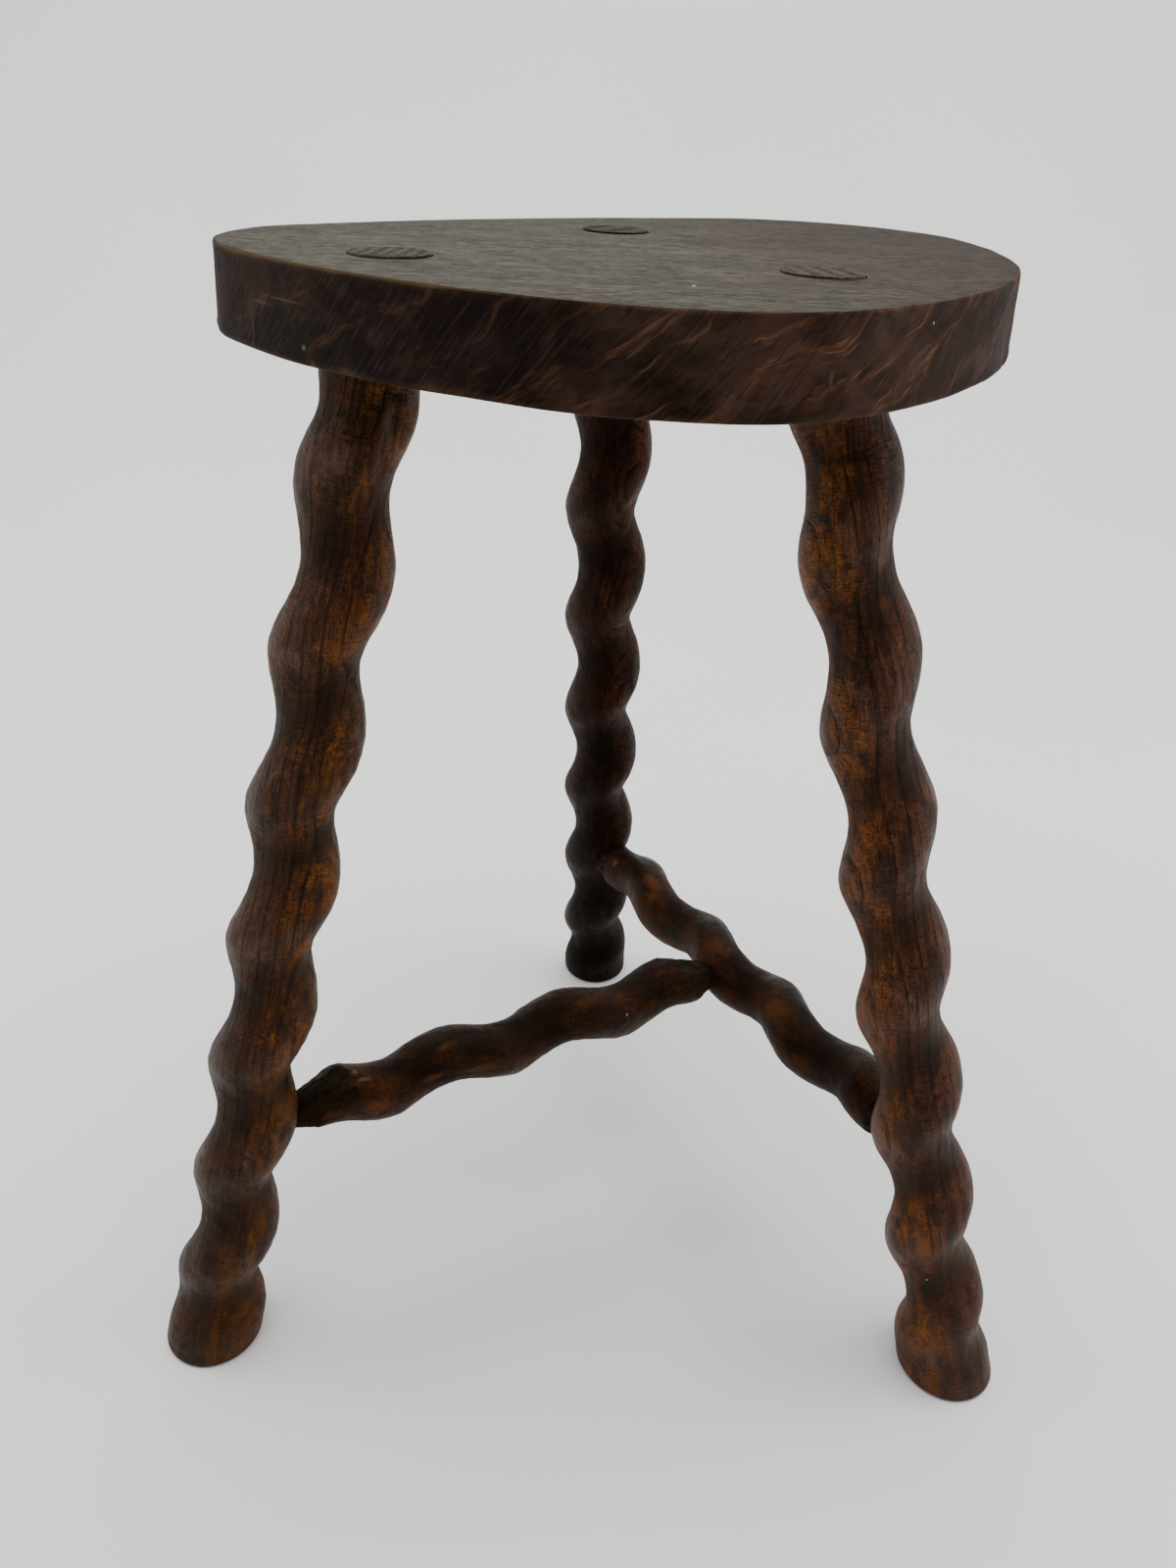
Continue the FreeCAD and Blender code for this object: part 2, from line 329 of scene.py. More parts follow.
def ring_points(centre, axis, radius, level, count):
    """Ring of a round bar, cut square to its axis or turned towards level."""
    across = unit(np.cross(UP, axis))
    onward = np.cross(axis, across)
    normal = axis + (UP - axis) * level
    climb = onward @ normal / (axis @ normal)
    turn = np.linspace(0, 2 * math.pi, count, endpoint=False)
    radius = np.broadcast_to(radius, count)[:, None]
    rise = np.sin(turn)[:, None] * (onward - axis * climb)
    return centre + (rise + np.cos(turn)[:, None] * across) * radius


# Legs

def leg_section(leg, distance, length):
    """Radius, offset, share of the foot's shift and share of the turn to level."""
    from_foot = smooth((distance - foot_block) / foot_fade)
    from_top = smooth((length - distance - top_plain) / top_fade)
    taper = leg_foot_round + (leg_top_round - leg_foot_round) * distance / length
    diameter = leg["foot_round"] + (taper - leg["foot_round"]) * from_foot
    square = smooth(distance / (foot_block + foot_fade))
    square = square * smooth((length - distance) / (top_plain + top_fade))
    return diameter / 2, leg_offset * from_foot * from_top, 1 - from_foot, 1 - square


def leg_grime(ring, joint, from_top):
    """Dirt and painted shade under the seat and round the stretcher's joint."""
    under_seat = math.exp(-from_top / seat_dirt_and_shade)
    near_joint = np.exp(-np.linalg.norm(ring - joint, axis=1) / joint_dirt_and_shade) * 1.6
    return np.clip(under_seat + near_joint - 0.25, 0, 1)


def leg_piece(node, leg, seed, material):
    """Twisted leg from its worn foot to the sawn end of its tenon."""
    line = leg_line(leg)
    foot, _ = line
    start = at_height(line, foot_arris)
    end = at_height(line, seat_underside)
    length = np.linalg.norm(end - start)
    axes = bar_axes(start, end, BACK)
    axis = axes[0]
    lean = axis / axis[2]
    foot_shift = np.array([*leg["foot_shift"], 0])
    joint = at_height(line, leg["joint_height"])
    skin = Skin(foot, axes, "ridge", "grime", "endgrain")

    # Sole and its worn rim, from the middle of the sole outward
    sole = start + foot_shift - lean * foot_arris
    sole_radius = leg["foot_round"] / 2 - foot_arris - rim_shrink
    for share in sole_shares:
        ring = ring_points(sole, axis, sole_radius * share, 1, around_leg)
        skin.ring(ring, grime=1.0, endgrain=1.0)
    for step in range(foot_arris_steps):
        angle = math.pi / 2 * step / foot_arris_steps
        drop = foot_arris * math.cos(angle)
        radius = sole_radius + foot_arris * math.sin(angle)
        ring = ring_points(start + foot_shift - lean * drop, axis, radius, 1, around_leg)
        skin.ring(ring, ridge=0.9, grime=0.2)

    # Twist, uneven but for its two ends
    for distance in np.linspace(0, length, round(length / leg_step)):
        from_top = length - distance
        radius, offset, stray, level = leg_section(leg, distance, length)
        swing = twist_direction(leg, distance, length, axes) * offset
        centre = start + axis * distance + swing + foot_shift * stray
        ring = ring_points(centre, axis, radius, level, around_leg)
        free = smooth(distance / foot_block) * smooth(from_top / top_plain)
        relief = (dents(ring, leg_waves, seed) - leg_sink) * free
        relief = relief - rim_shrink * (1 - smooth(distance / (2 * foot_block)))
        ring = ring_points(centre, axis, radius + relief, level, around_leg)
        reach = np.linalg.norm(np.cross(ring - start - foot_shift * stray, axis), axis=1)
        ridge = (reach - radius) / leg_offset
        skin.ring(ring, ridge=ridge, grime=leg_grime(ring, joint, from_top))

    # Shoulder and tenon
    skin.ring(ring_points(end, axis, tenon_radius, 1, around_leg), grime=1.0)
    for height in np.linspace(seat_underside + 0.001, seat_height + tenon_proud * 0.25, 24):
        ring = ring_points(at_height(line, height), axis, tenon_radius, 1, around_leg)
        skin.ring(ring, grime=0.8)

    # Sawn end: a softly rounded edge, then rings towards the middle with saw marks
    summit = seat_height + tenon_proud
    centre = at_height(line, summit)
    stripe = tenon_radius * 2 / leg["saw_count"]
    for share, drop in zip(end_shares, end_drops):
        ring = ring_points(centre, axis, tenon_radius * share, 1, around_leg)
        across = (ring - centre)[:, 0] - leg["saw_lean"] * (ring - centre)[:, 1]
        groove = smooth(0.5 + 0.8 * np.sin(2 * math.pi * across / stripe))
        groove = groove * smooth((1 - share) / 0.1)
        uneven = smooth(0.5 + 0.5 * lumps(ring, 0.009, seed + 2))
        ring[:, 2] = summit - drop - saw_depth * groove * (0.5 + 0.5 * uneven)
        skin.ring(ring, ridge=groove * 0.5, grime=groove * 0.8, endgrain=1.0)
    skin.bridge(skin.rows)
    skin.cap(skin.rows[-1], centre, grime=0.3, endgrain=1.0)
    skin.cap(skin.rows[0], sole, grime=1.0, endgrain=1.0)
    skin.piece(node + "_turned", [material], node, 50)


# Stretchers

def bar_section(distance, length):
    """The bar thins and its twist fades away towards the neighbour at either end."""
    nearest = min(distance, length - distance)
    fullness = smooth((nearest - leg_foot_round / 2) / bar_fade)
    diameter = bar_end_round + (bar_round - bar_end_round) * fullness
    return diameter / 2, bar_offset * fullness


def pared_reach(distance, length, pares):
    """Half the width across the flats of the whittled ends, at a distance."""
    full = bar_round / 2 + 2 * bar_offset
    reach = full * 2
    for nearest, (surface, neck, straight, slope) in zip((distance, length - distance), pares):
        share = (nearest - surface - straight) / slope
        reach = min(reach, neck / 2 + (full - neck / 2) * max(share, 0))
    return reach


def whittled(turn, reach, distance, half_width, seed):
    """Reach of the uneven flats round a whittled end, and how far each point is pared."""
    wedge = 2 * math.pi / facets
    flat = half_width / np.cos(turn % wedge - wedge / 2)
    onward = np.full_like(turn, distance * gouge_stretch)
    chips = np.stack([turn * gouge_width, onward, np.zeros_like(turn)], -1)
    flat = flat + np.where(flat < reach + gouge_reach, dents(chips, gouge_waves, seed), 0)
    return flat, smooth((reach - flat) / 0.0005 + 0.35)


def stretcher_piece(node, spec, seed, material):
    """Twisted bar with hand-whittled necks and a round tenon at each end."""
    start, end = spec["line"]
    length = np.linalg.norm(end - start)
    axes = bar_axes(start, end, UP)
    axis, zero, quarter = axes
    skin = Skin(start, axes, "ridge", "grime", "pared")

    def add_tenon(distances):
        for distance in distances:
            ring = ring_points(start + axis * distance, axis, spec["tenon_radius"], 0, around_bar)
            skin.ring(ring, grime=1.0, pared=1.0)

    tips = (spec["tenons"][0], length - spec["tenons"][1])
    first, last = spec["body"][0], length - spec["body"][1]
    add_tenon(np.linspace(tips[0], first, 6))
    for distance in np.linspace(first, last, round((last - first) / bar_step)):
        radius, offset = bar_section(distance, length)
        centre = start + axis * distance
        swing = twist_direction(spec, distance, length, axes) * offset
        ring = ring_points(centre + swing, axis, radius, 0, around_bar)
        relief = dents(ring, bar_waves, seed) - bar_sink
        out = ring - centre
        reach = np.linalg.norm(out, axis=1)
        away = out / reach[:, None]
        turn = np.arctan2(out @ quarter, out @ zero) - math.radians(spec["facet_angle"])
        half_width = pared_reach(distance, length, spec["pares"])
        flat, pared = whittled(turn, reach, distance, half_width, seed + 3)
        ring = centre + away * np.minimum(reach + relief, flat)[:, None]
        # Dirt and painted shade darken the bar towards the joints at its ends.
        grime = 0.9 * math.exp(-min(distance - first, last - distance) / neck_dirt_and_shade)
        skin.ring(ring, ridge=(reach - radius) / bar_offset, grime=grime, pared=pared)
    add_tenon(np.linspace(last, tips[1], 6))
    skin.bridge(skin.rows)
    for row, distance in ((0, tips[0]), (-1, tips[1])):
        skin.cap(skin.rows[row], start + axis * distance, grime=1.0, pared=1.0)
    skin.piece(node + "_turned", [material], node, 40)


# Seat

def side_centre(a, radius_a, b, radius_b, radius):
    """Centre of the arc that touches both corner circles from outside."""
    reach_a = radius - radius_a
    reach_b = radius - radius_b
    span = np.linalg.norm(b - a)
    along = (b - a) / span
    inward = np.array([-along[1], along[0]])
    foot = (reach_a ** 2 - reach_b ** 2 + span ** 2) / (2 * span)
    return a + along * foot + inward * math.sqrt(reach_a ** 2 - foot ** 2)


def arc_samples(centre, radius, start, end):
    """Points and outward normals along an arc, without its last point."""
    first = math.atan2(start[1], start[0])
    sweep = (math.atan2(end[1], end[0]) - first) % (2 * math.pi)
    count = max(round(radius * sweep / rim_step), 2)
    angle = first + sweep * np.arange(count) / count
    normals = np.stack([np.cos(angle), np.sin(angle)], -1)
    return centre + normals * radius, normals


def seat_outline():
    """Points of the seat's outline at its top, with their outward normals."""
    corners = [np.array(place) for place in corner_places]
    sides = [
        side_centre(corners[i], corner_radii[i], corners[i - 2], corner_radii[i - 2], side_radii[i])
        for i in range(3)
    ]
    arcs = []
    for i in range(3):
        corner, side, onward = corners[i], sides[i], corners[i - 2]
        arcs.append(arc_samples(corner, corner_radii[i], corner - sides[i - 1], corner - side))
        arcs.append(arc_samples(side, side_radii[i], corner - side, onward - side))
    points, normals = (np.concatenate(parts) for parts in zip(*arcs))
    return points + shift[:2], normals


def inside(points, ring):
    """Which points lie inside a closed ring."""
    x, y = points[:, 0:1], points[:, 1:2]
    x0, y0 = ring[:, 0], ring[:, 1]
    x1, y1 = np.roll(x0, -1), np.roll(y0, -1)
    crosses = ((y0 > y) != (y1 > y)) & (x < (x1 - x0) * (y - y0) / (y1 - y0 + 1e-12) + x0)
    return crosses.sum(1) % 2 == 1


def on_board(points, outline, holes):
    """Which points lie inside the outline and outside all holes."""
    keep = inside(points, outline)
    for ring in holes:
        keep &= ~inside(points, ring)
    return keep


def gap_to(points, rings):
    """Distance from each point to the nearest point of the rings."""
    gap = np.full(len(points), 1.0)
    for block in np.array_split(np.concatenate(rings), 48):
        gap = np.minimum(gap, np.linalg.norm(points[:, None] - block[None], axis=2).min(1))
    return gap


def plate(outline, holes, spacing, seed):
    """Triangles of a flat plate with holes. Its first points are those of the rings."""
    rings = [outline] + holes
    chance = np.random.default_rng(seed)
    low, high = outline.min(0), outline.max(0)
    grid = np.stack(np.meshgrid(
        np.arange(low[0], high[0], spacing), np.arange(low[1], high[1], spacing)), -1).reshape(-1, 2)
    grid = grid + chance.uniform(-0.3, 0.3, grid.shape) * spacing
    keep = on_board(grid, outline, holes) & (gap_to(grid, rings) > spacing * 0.6)
    points = np.concatenate(rings + [grid[keep]])
    edges = []
    first = 0
    for ring in rings:
        numbers = np.arange(first, first + len(ring))
        edges.extend(zip(numbers.tolist(), np.roll(numbers, -1).tolist()))
        first += len(ring)
    _, _, triangles, sources, _, _ = delaunay_2d_cdt([Vector(p) for p in points], edges, [], 0, 1e-7)
    numbers = [source[0] for source in sources]
    triangles = np.array([[numbers[v] for v in face] for face in triangles])
    return points, triangles[on_board(points[triangles].mean(1), outline, holes)]


def seat_wear(outline, along):
    """Wear of the upper and the lower arris, and knocks, round the outline."""
    places = np.column_stack([outline, np.zeros(len(outline))])
    top_wear = np.clip(dents(places, top_wear_waves, 11, top_wear_mean), *top_wear_limits)
    low_wear = np.clip(dents(places, low_wear_waves, 13, low_wear_mean), *low_wear_limits)
    chance = np.random.default_rng(14)
    knock = np.zeros(len(along))
    for _ in range(knock_count):
        place = chance.uniform(0, along[-1])
        width = chance.uniform(*knock_widths)
        knock += chance.uniform(*knock_strengths) * np.exp(-((along - place) / width) ** 2)
    return top_wear, low_wear, np.clip(knock, 0, 1)


def seat_piece(materials):
    """Board with worn arrises, a sawn edge and three slanting bores."""
    outline, normals = seat_outline()
    along = np.concatenate([[0], np.cumsum(np.linalg.norm(np.diff(outline, axis=0), axis=1))])
    top_wear, low_wear, knock = seat_wear(outline, along)
    grain_axes = np.array(Matrix.Rotation(math.radians(seat_grain_turn), 3, "Z"))
    skin = Skin(np.zeros(3), grain_axes, "arris", "around")

    def add_ring(growth, height, arris):
        ring = np.column_stack([outline + normals * growth[:, None], height])
        skin.ring(ring, arris=arris, around=np.column_stack([along, height, np.zeros(len(along))]))

    # Upper arris, sawn edge and lower arris
    for step in range(top_arris_steps + 1):
        angle = math.pi / 2 * step / top_arris_steps
        height = seat_height - top_wear * (1 - math.cos(angle))
        arris = math.sin(angle * 2) * 0.8 + math.sin(angle) * 0.2
        add_ring(top_wear * (math.sin(angle) - 1), height, arris)
    upper = seat_height - top_wear
    lower = seat_underside + low_wear
    for level in range(1, edge_levels):
        height = upper + (lower - upper) * level / edge_levels
        flare = seat_flare * (seat_height - height) / seat_thickness
        relief = dents(np.column_stack([outline, height]), edge_waves, 15) - edge_sink
        relief = relief * smooth(level / 3) * smooth((edge_levels - level) / 3)
        near_low = math.exp(-(edge_levels - level) / 1.6)
        arris = np.clip(0.2 * math.exp(-level) + near_low * knock, 0, 1)
        add_ring(flare + relief - knock_depth * knock * near_low, height, arris)
    reach = seat_flare * (seat_thickness - low_wear) / seat_thickness
    for step in range(low_arris_steps + 1):
        angle = math.pi / 2 * step / low_arris_steps
        lift = knock_lift * knock * math.cos(angle)
        height = seat_underside + low_wear * (1 - math.sin(angle)) + lift
        growth = reach - low_wear * (1 - math.cos(angle)) - knock_depth * knock * math.cos(angle)
        add_ring(growth, height, 0.25 + 0.75 * knock)
    skin.bridge(skin.rows)

    # Bores: a slightly crushed mouth at the top, then a clean slanting wall
    mouths = []
    feet = []
    for number, leg in enumerate(legs.values()):
        line = leg_line(leg)
        axis = unit(line[1] - line[0])
        bore_rows = []
        for depth, growth in zip(bore_depths, mouth_growth):
            centre = at_height(line, seat_height - depth)
            ring = ring_points(centre, axis, tenon_radius + bore_clearance, 1, around_bore)
            out = ring - centre
            out = out / np.linalg.norm(out, axis=1)[:, None]
            uneven = 0.5 + 0.5 * lumps(ring, 0.011, 20 + number)
            toward = smooth(0.45 - 0.8 * out[:, 1] + 0.5 * out[:, 0])
            crush = growth * toward * (0.7 + 0.6 * uneven)
            bore_rows.append(skin.add(ring + out * crush[:, None]))
        skin.bridge(bore_rows)
        mouths.append(bore_rows[0])
        feet.append(bore_rows[-1])
    all_points = np.concatenate(skin.points)

    def add_plate(ring_numbers, hole_numbers, spacing, seed, height, upward):
        rings = [all_points[numbers][:, :2] for numbers in [ring_numbers] + hole_numbers]
        points, triangles = plate(rings[0], rings[1:], spacing, seed)
        known = np.concatenate([ring_numbers] + hole_numbers)
        fresh = points[len(known):]
        sink_share = smooth(gap_to(fresh, rings) / 0.012)
        fresh = np.column_stack([fresh, np.full(len(fresh), height)])
        sink = np.clip(dents(fresh, plate_waves, seed + 5, plate_sink), 0, 1)
        fresh[:, 2] -= upward * sink * sink_share
        lookup = np.concatenate([known, skin.add(fresh)])
        faces = skin.upper_faces if upward > 0 else skin.faces
        faces.extend(map(tuple, lookup[triangles].tolist()))

    add_plate(skin.rows[0], mouths, top_grid, 31, seat_height, 1)
    add_plate(skin.rows[-1], feet, under_grid, 32, seat_underside, -1)
    skin.piece("seat_board", materials, "seat", 40)


# Materials

def add_node(tree, kind, inputs, **settings):
    """Node of a material, whose inputs are fixed or come from other nodes."""
    made = tree.nodes.new("ShaderNode" + kind)
    for name, value in settings.items():
        setattr(made, name, value)
    for name, value in inputs.items():
        if isinstance(value, Value):
            tree.links.new(value.socket, made.inputs[name])
        else:
            made.inputs[name].default_value = value
    return made


class Value:
    """What a node gives at each point of the surface: a number, a colour or a place."""

    def __init__(self, node, output=0):
        self.tree = node.id_data
        self.socket = node.outputs[output]

    def then(self, kind, inputs, output=0, **settings):
        """Value of a further node of the same material."""
        return Value(add_node(self.tree, kind, inputs, **settings), output)

    def calc(self, operation, other=0.0, clamp=False):
        return self.then("Math", {0: self, 1: other}, operation=operation, use_clamp=clamp)

    def __add__(self, other):
        return self.calc("ADD", other)

    def __sub__(self, other):
        return self.calc("SUBTRACT", other)

    def __mul__(self, other):
        return self.calc("MULTIPLY", other)

    def rise(self, low, high, to_low=0.0, to_high=1.0):
        """Smooth step from one value at low to another at high."""
        inputs = {"Value": self, "From Min": low, "From Max": high, "To Min": to_low, "To Max": to_high}
        return self.then("MapRange", inputs, interpolation_type="SMOOTHSTEP")

    def vector(self, operation, other):
        return self.then("VectorMath", {0: self, 1: other}, operation=operation)

    def parts(self):
        """The three measures of a place."""
        made = add_node(self.tree, "SeparateXYZ", {0: self})
        return [Value(made, number) for number in range(3)]

    def stretch(self, scale=(1, 1, 1), move=(0, 0, 0), turn=(0, 0, 0)):
        inputs = {"Vector": self, "Location": move, "Rotation": turn, "Scale": scale}
        return self.then("Mapping", inputs)

    def noise(self, scale, detail, roughness=0.5, distortion=0.0, move=(0, 0, 0), output="Fac"):
        """Noise whose features are about one over the scale long each way."""
        inputs = {
            "Vector": self.stretch(scale, move), "Scale": 1.0, "Detail": detail,
            "Roughness": roughness, "Distortion": distortion,
        }
        return self.then("TexNoise", inputs, output)

    def warp(self, scale, amount, detail=2.0):
        """The place moved about by slow noise."""
        waver = self.noise(scale, detail, output="Color").vector("SUBTRACT", (0.5, 0.5, 0.5))
        return self.vector("ADD", waver.vector("MULTIPLY", amount))

    def rings(self, centre, spacing):
        """Growth rings round a line along the grain: their count outward."""
        x, y, _ = self.parts()
        x = x - centre[0]
        y = y - centre[1]
        return (x * x + y * y).calc("SQRT").calc("DIVIDE", spacing)

    def bump(self, distance, strength=1.0, normal=None):
        """Normals of a surface with this relief, over those of a coarser one."""
        inputs = {"Height": self, "Distance": distance, "Strength": strength}
        if normal is not None:
            inputs["Normal"] = normal
        return self.then("Bump", inputs)


def blend(factor, a, b, mode="MIX"):
    """Colour between two others, where one of the three comes from a node."""
    known = next(value for value in (factor, a, b) if isinstance(value, Value))
    return known.then("Mix", {0: factor, 6: a, 7: b}, 2, data_type="RGBA", blend_type=mode)


def rgb(red, green, blue):
    """Linear colour from thousandths."""
    return (red / 1000, green / 1000, blue / 1000, 1.0)


class Paint:
    """A material, and the colour laid down so far."""

    def __init__(self, name):
        self.material = bpy.data.materials.new(name)
        self.material.use_nodes = True
        self.tree = self.material.node_tree
        self.tree.nodes.clear()
        self.color = None

    def mark(self, name, output="Fac"):
        """What the mesh carries under a name, as a number or as a vector."""
        made = add_node(self.tree, "Attribute", {}, attribute_name=name, attribute_type="GEOMETRY")
        return Value(made, output)

    def lay(self, factor, tint, mode="MIX"):
        """Lay a tint over the colour so far."""
        self.color = blend(factor, self.color, tint, mode)

    def lay_marks(self, place, marks):
        """Ragged marks, each a place and half sizes in millimetres, a tint and a strength."""
        for centre, size, tint, strength in marks:
            away = place.vector("SUBTRACT", tuple(part / 1000 for part in centre))
            away = away.vector("MULTIPLY", tuple(1000 / part for part in size))
            ragged = away.warp((2.0, 2.0, 2.0), (2.2, 2.2, 2.2), 4.0)
            distance = ragged.then("VectorMath", {0: ragged}, "Value", operation="LENGTH")
            self.lay(distance.rise(1.4, 0.3, 0.0, strength), tint)

    def finish(self, roughness, normal, specular, specular_tint=rgb(1000, 1000, 1000)):
        shader = add_node(self.tree, "BsdfPrincipled", {
            "Base Color": self.color, "Roughness": roughness, "Normal": normal,
            "Specular IOR Level": specular, "Specular Tint": specular_tint,
        })
        add_node(self.tree, "OutputMaterial", {"Surface": Value(shader)}, is_active_output=True)
        return self.material


# Colours of the twisted bars: deep, brown, amber, late wood, dusty wear with painted sheen, whittled
# ends' bare wood
bare = rgb(50, 34, 18)
left_palette = (
    rgb(24, 8.8, 4.4), rgb(57, 19.8, 8.2), rgb(135, 43, 4.5), rgb(7, 3, 1.8), rgb(95, 56, 40), bare)
right_palette = (
    rgb(23, 8, 4.8), rgb(68, 22.2, 10.5), rgb(140, 43, 6), rgb(6, 2.5, 1.7), rgb(120, 58, 39), bare)
# The rear leg's colours are a darker copy, as painted shade under the seat.
rear_shaded_palette = (
    rgb(11.5, 3.5, 1.9), rgb(31, 8.6, 3.8), rgb(75, 20, 3.8), rgb(2.6, 1.1, 0.7), rgb(33, 16, 10), bare)
bar_palette = (
    rgb(7.5, 3.2, 1.7), rgb(15, 5.8, 2.7), rgb(50, 14, 2.7),
    rgb(3.2, 1.6, 1.1), rgb(20, 12.5, 8.5), rgb(18, 14, 7.5))
split_black = rgb(2, 1.3, 1)
end_dark = rgb(28, 24, 18)
end_pale = rgb(70, 63, 48)
end_dirt = rgb(10, 7, 6)
wax_sheen = rgb(1000, 720, 500)

# Colours of the seat's top
board_dark = rgb(36, 31, 24)
board_pale = rgb(58, 52, 40)
board_cloud = rgb(56, 46, 40)
grain_pale = rgb(112, 104, 83)
grain_dark = rgb(12, 10, 8)
fibre_pale = rgb(105, 96, 75)
fibre_dark = rgb(18, 14, 11)
browner = rgb(620, 540, 520)
pore_dark = rgb(12, 9, 7)
crack_black = rgb(6, 4, 4)
speck_black = rgb(10, 8, 7)
top_rubbed = rgb(140, 88, 38)

# Colours of the seat's edge
edge_black = rgb(10, 5.6, 5)
edge_brown = rgb(25, 13, 9)
edge_red = rgb(52, 27, 20)
flame_brown = rgb(100, 42, 19)
flame_bright = rgb(170, 88, 50)
vein_black = rgb(6, 3.4, 3)
fog_grey = rgb(40, 27, 22)
saw_pale = rgb(60, 41, 32)
saw_dark = rgb(5, 3.4, 3.2)
edge_rubbed = rgb(100, 58, 24)
edge_sheen = rgb(1000, 800, 680)

# Colours of marks, and of the studio's sheet
scuff_and_highlight = rgb(90, 60, 45)
stain = rgb(4, 2.2, 1.6)
rubbed = rgb(95, 30, 7)
fresh_cut = rgb(110, 75, 30)
honey = rgb(80, 30, 6)
chalk = rgb(450, 420, 380)
scratch = rgb(100, 72, 50)
bruise = rgb(100, 62, 40)
plaster = rgb(150, 140, 120)
ruddy = rgb(75, 38, 32)
olive = rgb(75, 70, 42)
sheet_low = rgb(820, 820, 807)
sheet_high = rgb(845, 845, 835)


def turned_wood(
        name, palette, ring_centre, ring_spacing, drift, warm_lit_side, specular, figure, painted_shade_by_height, marks):
    """Old stained wood of the twisted bars: bands and hairlines along the grain, ticks across it."""
    deep, brown, amber, late, dust_and_sheen, raw_wood = palette
    paint = Paint(name)
    grown = paint.mark("place", "Vector")
    ridge = paint.mark("ridge")
    grime = paint.mark("grime")
    pared = paint.mark("pared")
    endgrain = paint.mark("endgrain")
    aside, _, along = grown.parts()
    place = grown.stretch(move=(0, 0, drift))

    # Growth rings: dark late wood and short splits, wavering along the grain
    wavy = place.warp((30, 30, 12), (0.006, 0.006, 0)).warp((160, 160, 60), (0.0013, 0.0013, 0))
    count = wavy.rings(ring_centre, ring_spacing)
    share = count.calc("FRACT")
    strength = count.then("TexWhiteNoise", {"W": count.calc("FLOOR")}, "Value", noise_dimensions="1D")
    plain = along.rise(0.0, 0.2, 0.35, 1.0) * figure
    line = share.rise(0.45, 0.85) * share.rise(1.0, 0.93)
    line = line * place.noise((260, 260, 40), 3).rise(0.34, 0.58, 0.1, 1.0)
    line = line * strength.rise(0.0, 1.0, 0.3, 1.0) * plain
    split = share.rise(0.84, 0.9) * share.rise(0.98, 0.93) * strength.rise(0.45, 0.55)
    torn = place.noise((90, 90, 55), 3, 0.6, move=(5, 2, 1))
    split = split * (torn.rise(0.48, 0.56) * plain)

    # Finer marks: hairlines, fibres and pores along the grain, curls, and ticks across it
    bands = wavy.noise((200, 200, 15), 3, 0.55)
    threads = wavy.noise((820, 820, 30), 3, 0.62).rise(0.56, 0.66, 0, 0.8) * plain
    fibres = wavy.noise((1500, 1500, 85), 4, 0.65)
    curl = place.noise((520, 520, 620), 4, 0.7, 1.6)
    ticks = place.noise((280, 280, 1500), 3, 0.65, 0.3)
    crazed = place.noise((75, 75, 60), 3, 0.55).rise(0.4, 0.62, 0.15, 1.0)
    patches = place.noise((58, 58, 24), 3, 0.6, 0.4)
    clouds = place.noise((150, 150, 75), 4, 0.65, 0.6)

    # Stain in bands, amber where it has worn thin, and more amber on one side as painted warm light
    paint.color = blend(bands.rise(0.38, 0.6), deep, brown)
    # Painted warm light: one side of each bar is made more amber.
    painted_warm_light = (aside * warm_lit_side).rise(-0.01, 0.014, -0.14, 0.14)
    warm = (painted_warm_light + patches).rise(0.44, 0.66) * clouds.rise(0.34, 0.6, 0.2, 1.0)
    paint.lay(warm * bands.rise(0.34, 0.56, 0.35, 1.0), amber)
    paint.lay(clouds.rise(0.5, 0.3, 0, 0.6), deep)

    # Light and dark of the fine marks together, and painted shade by height, darker towards the floor
    shade = fibres.rise(0.32, 0.68, -0.42, 0.42) + curl.rise(0.34, 0.66, -0.3, 0.34)
    shade = shade + ticks.rise(0.34, 0.66, 0.55, -0.55) * crazed
    shade = shade * along.rise(0.02, 0.26, 0.62, 1.05) + 1.02
    # Painted shade: the tones make the bar darker towards the floor.
    shade = shade.calc("MAXIMUM", 0.22) * along.rise(0.0, 0.42, *painted_shade_by_height)
    paint.lay(1.0, shade, "MULTIPLY")

    # Dusty wear with painted sheen on the ridges, dark lines and splits, painted shade in the valleys,
    # and dirt with painted shade
    # Painted sheen together with dusty wear on the crests of the twist.
    bloom_and_sheen = place.noise((85, 85, 34), 3, 0.6, move=(1, 4, 2))
    bloom_and_sheen = bloom_and_sheen.rise(0.5, 0.68) * ridge.rise(-0.4, 0.7) * fibres.rise(0.4, 0.6, 0.15, 0.85)
    paint.lay(bloom_and_sheen, dust_and_sheen)
    paint.lay(threads, late)
    paint.lay(line * 0.75, late)
    paint.lay(split * 0.95, split_black)
    # Painted shade in the valleys of the twist.
    paint.lay(ridge.rise(-0.3, -1.15, 0, 0.6), late)
    # Dirt and painted shade under the seat, round the joints and at the bars' ends.
    soot_and_shade = grime * clouds.rise(0.2, 0.6, 0.7, 1.0)
    paint.lay(soot_and_shade.calc("MULTIPLY", 0.85, clamp=True), late)
    paint.lay_marks(grown, marks)

    # Whittled ends: bare wood with tool marks, browned again by dirt
    chips = place.noise((420, 420, 130), 4, 0.7, 0.8)
    paint.lay(pared * 0.85, blend(chips.rise(0.34, 0.66), raw_wood, late))

    # Sawn tenon ends: grey like the seat top, with dirt in the saw marks
    speckle = place.noise((900, 900, 700), 3, 0.6)
    sawn = blend(speckle.rise(0.35, 0.65), end_dark, end_pale)
    paint.lay(endgrain, blend(grime, sawn, end_dirt))

